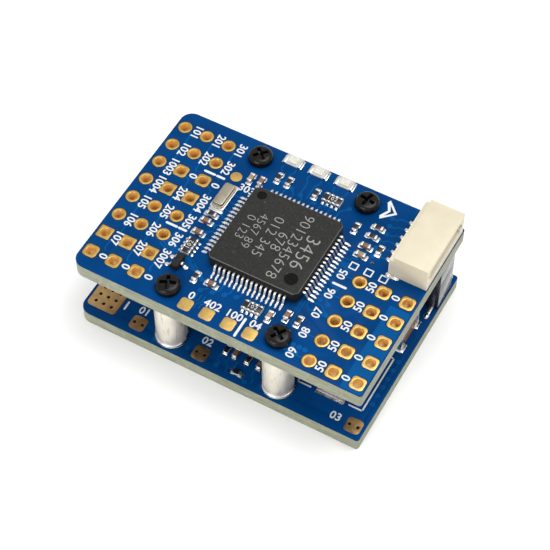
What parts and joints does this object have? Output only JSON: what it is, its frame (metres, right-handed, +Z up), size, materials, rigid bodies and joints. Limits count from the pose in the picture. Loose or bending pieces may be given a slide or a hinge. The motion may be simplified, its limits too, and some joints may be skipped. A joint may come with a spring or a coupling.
{
  "type": "flight controller board",
  "caption": "Stacked flight controller: controller board over a power board on soldered standoffs, held by corner screws, with wire pads, lamps and a side-entry wire connector.",
  "frame": {"origin": "under the middle of the lower board, on the surface it stands on", "axes": "+Z up through the stack, +X along the length towards the wire connector and servo pads, +Y towards the edge with the lamps"},
  "size_m": [0.0316, 0.022, 0.0125],
  "materials": {
    "circuit_board": "semi-gloss blue solder mask over glass epoxy",
    "pad_gold": "thin gold over nickel, satin",
    "aged_gold": "thin gold, dull brown",
    "tinned_brass": "bright tin plate",
    "solder": "shiny solder",
    "tinned_lead": "tin plate",
    "black_plastic": "moulded, matt",
    "black_resin": "moulded resin, matt",
    "chip_resin": "moulded resin, fine matt",
    "black_glaze": "glazed",
    "ferrite": "pressed powder, matt",
    "brown_ceramic": "fired ceramic, satin",
    "tan_ceramic": "fired ceramic, satin",
    "pale_ceramic": "fired ceramic",
    "steel_can": "brushed lid",
    "white_plastic": "satin",
    "lamp_lens": "milky, glossy",
    "cream_plastic": "moulded nylon, satin",
    "black_screw": "blackened steel"
  },
  "bodies": {
    "power_board": {"lower_pcb": "circuit_board", "lower_wire_pads": "aged_gold", "battery_pad": "aged_gold", "underside_pads": "aged_gold", "standoffs": "tinned_brass", "standoff_solder": "solder", "header_socket": "black_plastic", "header_contacts": "tinned_lead", "power_inductor": "ferrite", "inductor_terminals": "tinned_lead", "bulk_capacitor": "brown_ceramic", "bulk_capacitor_ends": "tinned_lead", "filter_capacitors": "brown_ceramic", "filter_capacitor_ends": "tinned_lead", "current_shunt": "black_resin", "shunt_ends": "tinned_lead", "small_inductor": "ferrite", "small_inductor_terminals": "tinned_lead", "regulator_chips": "black_resin", "regulator_leads": "tinned_lead", "diodes": "black_resin", "diode_terminals": "tinned_lead", "lower_resistors": "black_glaze", "lower_capacitors": "brown_ceramic", "lower_chip_ends": "tinned_lead"},
    "controller_board": {"upper_pcb": "circuit_board", "hole_pads_left": "pad_gold", "hole_pads_right": "pad_gold", "edge_pads": "pad_gold", "test_pad": "pad_gold", "mcu_body": "chip_resin", "mcu_leads": "tinned_lead", "crystal_can": "steel_can", "crystal_base": "pale_ceramic", "resistors": "black_glaze", "brown_capacitors": "brown_ceramic", "tan_capacitors": "tan_ceramic", "chip_ends": "tinned_lead", "resistor_arrays": "black_glaze", "array_terminals": "tinned_lead", "transistor_body": "black_resin", "transistor_leads": "tinned_lead", "lamp_bases": "white_plastic", "lamp_lenses": "lamp_lens", "lamp_terminals": "tinned_lead", "connector_housing": "cream_plastic", "connector_contacts": "tinned_lead", "connector_tabs": "tinned_lead", "header_plug": "black_plastic", "header_pins": "pad_gold", "osd_chip": "black_resin", "osd_leads": "tinned_lead", "memory_chip": "black_resin", "gyro_chip": "black_resin", "barometer_base": "pale_ceramic", "barometer_lid": "steel_can"},
    "screw_1": {"screw_1": "black_screw"},
    "screw_2": {"screw_2": "black_screw"},
    "screw_3": {"screw_3": "black_screw"},
    "screw_4": {"screw_4": "black_screw"}
  },
  "joints": [
    {"name": "board_lift", "type": "slide", "parent": "power_board", "child": "controller_board", "axis": [0, 0, 1], "range_m": [0, 0.006]},
    {"name": "screw_1_turn", "type": "hinge", "parent": "controller_board", "child": "screw_1", "pos_m": [-0.006, 0.009, 0.0095], "axis": [0, 0, 1], "continuous": true},
    {"name": "screw_2_turn", "type": "hinge", "parent": "controller_board", "child": "screw_2", "pos_m": [0.006, 0.009, 0.0095], "axis": [0, 0, 1], "continuous": true},
    {"name": "screw_3_turn", "type": "hinge", "parent": "controller_board", "child": "screw_3", "pos_m": [-0.006, -0.009, 0.0095], "axis": [0, 0, 1], "continuous": true},
    {"name": "screw_4_turn", "type": "hinge", "parent": "controller_board", "child": "screw_4", "pos_m": [0.006, -0.009, 0.0095], "axis": [0, 0, 1], "continuous": true}
  ]
}
